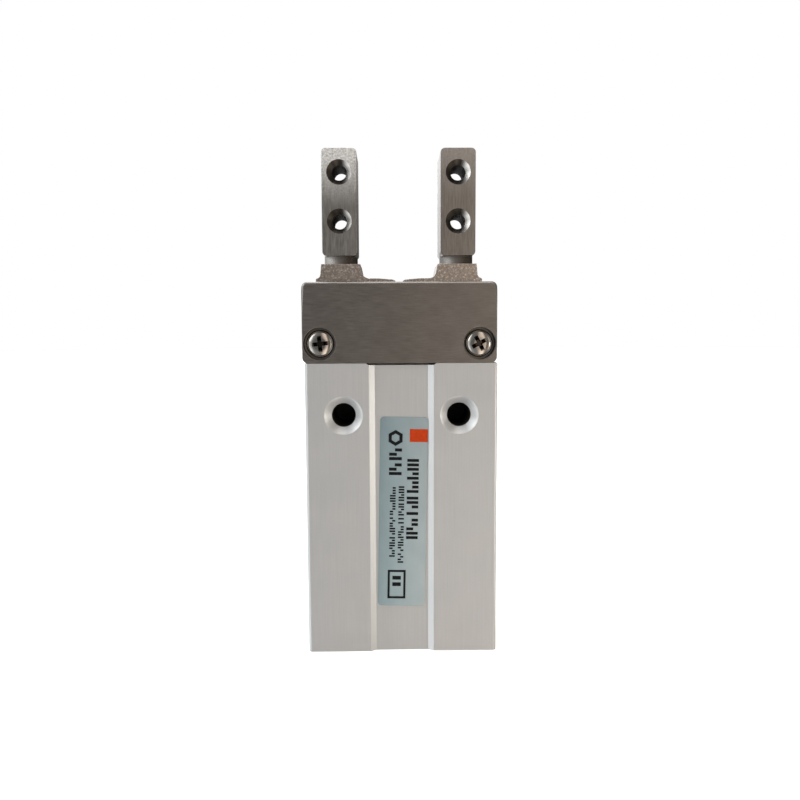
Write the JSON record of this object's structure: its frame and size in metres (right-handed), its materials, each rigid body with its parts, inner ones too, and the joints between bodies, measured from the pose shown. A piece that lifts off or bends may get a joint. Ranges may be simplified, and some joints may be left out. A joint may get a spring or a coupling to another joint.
{
  "type": "pneumatic gripper",
  "caption": "Parallel air gripper with an anodised aluminium cylinder body, a steel ball guide and side-tapped fingers driven apart by a piston through bell-crank levers.",
  "frame": {"origin": "on the bore axis at the bottom end of the body, where the locating socket opens", "axes": "+Z from the bottom end towards the fingertips, +X along the opening direction towards the air-port side, front with the label at -Y"},
  "size_m": [0.0201, 0.01, 0.0529],
  "materials": {
    "body_anodised": "clear hard anodised extrusion, satin, with very fine lengthwise grain",
    "guide_steel": "hardened stainless steel, ground and brushed across the width",
    "finger_steel": "hardened stainless steel, ground along the length",
    "screw_steel": "bright stainless pan-head screws",
    "label_film": "satin pale blue-grey polyester film with dark and orange print",
    "cap_aluminium": "turned and clear anodised",
    "bearing_steel": "bright hardened steel",
    "piston_steel": "turned stainless steel, rod polished",
    "lever_steel": "hardened stainless steel, tumbled",
    "seal_rubber": "black nitrile rubber",
    "bumper_urethane": "amber urethane",
    "magnet_rubber": "dark rubber-bonded magnet"
  },
  "bodies": {
    "body": {"cylinder_body": "body_anodised", "guide": "guide_steel", "guide_screws": "screw_steel", "name_label": "label_film", "rear_cap": "cap_aluminium", "cap_clip": "bearing_steel", "cap_o_ring": "seal_rubber", "rear_bumper": "bumper_urethane", "front_bumper": "bumper_urethane", "seal_retainer": "bearing_steel", "rod_seal": "seal_rubber", "ball_stops": "bearing_steel", "left_lever_shaft": "bearing_steel", "right_lever_shaft": "bearing_steel"},
    "piston": {"piston": "piston_steel", "piston_seal": "seal_rubber", "piston_magnet": "magnet_rubber", "joint_pin": "bearing_steel"},
    "left_lever": {"left_lever": "lever_steel"},
    "right_lever": {"right_lever": "lever_steel"},
    "left_finger": {"left_finger": "finger_steel"},
    "right_finger": {"right_finger": "finger_steel"},
    "left_balls": {"left_front_balls": "bearing_steel", "left_rear_balls": "bearing_steel"},
    "right_balls": {"right_front_balls": "bearing_steel", "right_rear_balls": "bearing_steel"}
  },
  "joints": [
    {"name": "piston_slide", "type": "slide", "parent": "body", "child": "piston", "axis": [0, 0, 1], "range_m": [-0.00022, 0.00147]},
    {"name": "left_lever_swing", "type": "hinge", "parent": "body", "child": "left_lever", "pos_m": [-0.00415, 0, 0.03155], "axis": [0, -1, 0], "range_deg": [-3.1, 20.1]},
    {"name": "right_lever_swing", "type": "hinge", "parent": "body", "child": "right_lever", "pos_m": [0.00415, 0, 0.03155], "axis": [0, 1, 0], "range_deg": [-3.1, 20.1]},
    {"name": "left_finger_slide", "type": "slide", "parent": "body", "child": "left_finger", "axis": [-1, 0, 0], "range_m": [-0.00027, 0.00173]},
    {"name": "right_finger_slide", "type": "slide", "parent": "body", "child": "right_finger", "axis": [1, 0, 0], "range_m": [-0.00027, 0.00173]},
    {"name": "left_ball_roll", "type": "slide", "parent": "body", "child": "left_balls", "axis": [-1, 0, 0], "range_m": [-0.00013, 0.00087]},
    {"name": "right_ball_roll", "type": "slide", "parent": "body", "child": "right_balls", "axis": [1, 0, 0], "range_m": [-0.00013, 0.00087]}
  ],
  "couplings": [
    {"joint": "left_lever_swing", "follows": "piston_slide", "rad_per_m": 238.5},
    {"joint": "right_lever_swing", "follows": "piston_slide", "rad_per_m": 238.5},
    {"joint": "left_finger_slide", "follows": "piston_slide", "ratio": 1.18},
    {"joint": "right_finger_slide", "follows": "piston_slide", "ratio": 1.18},
    {"joint": "left_ball_roll", "follows": "piston_slide", "ratio": 0.59},
    {"joint": "right_ball_roll", "follows": "piston_slide", "ratio": 0.59}
  ]
}
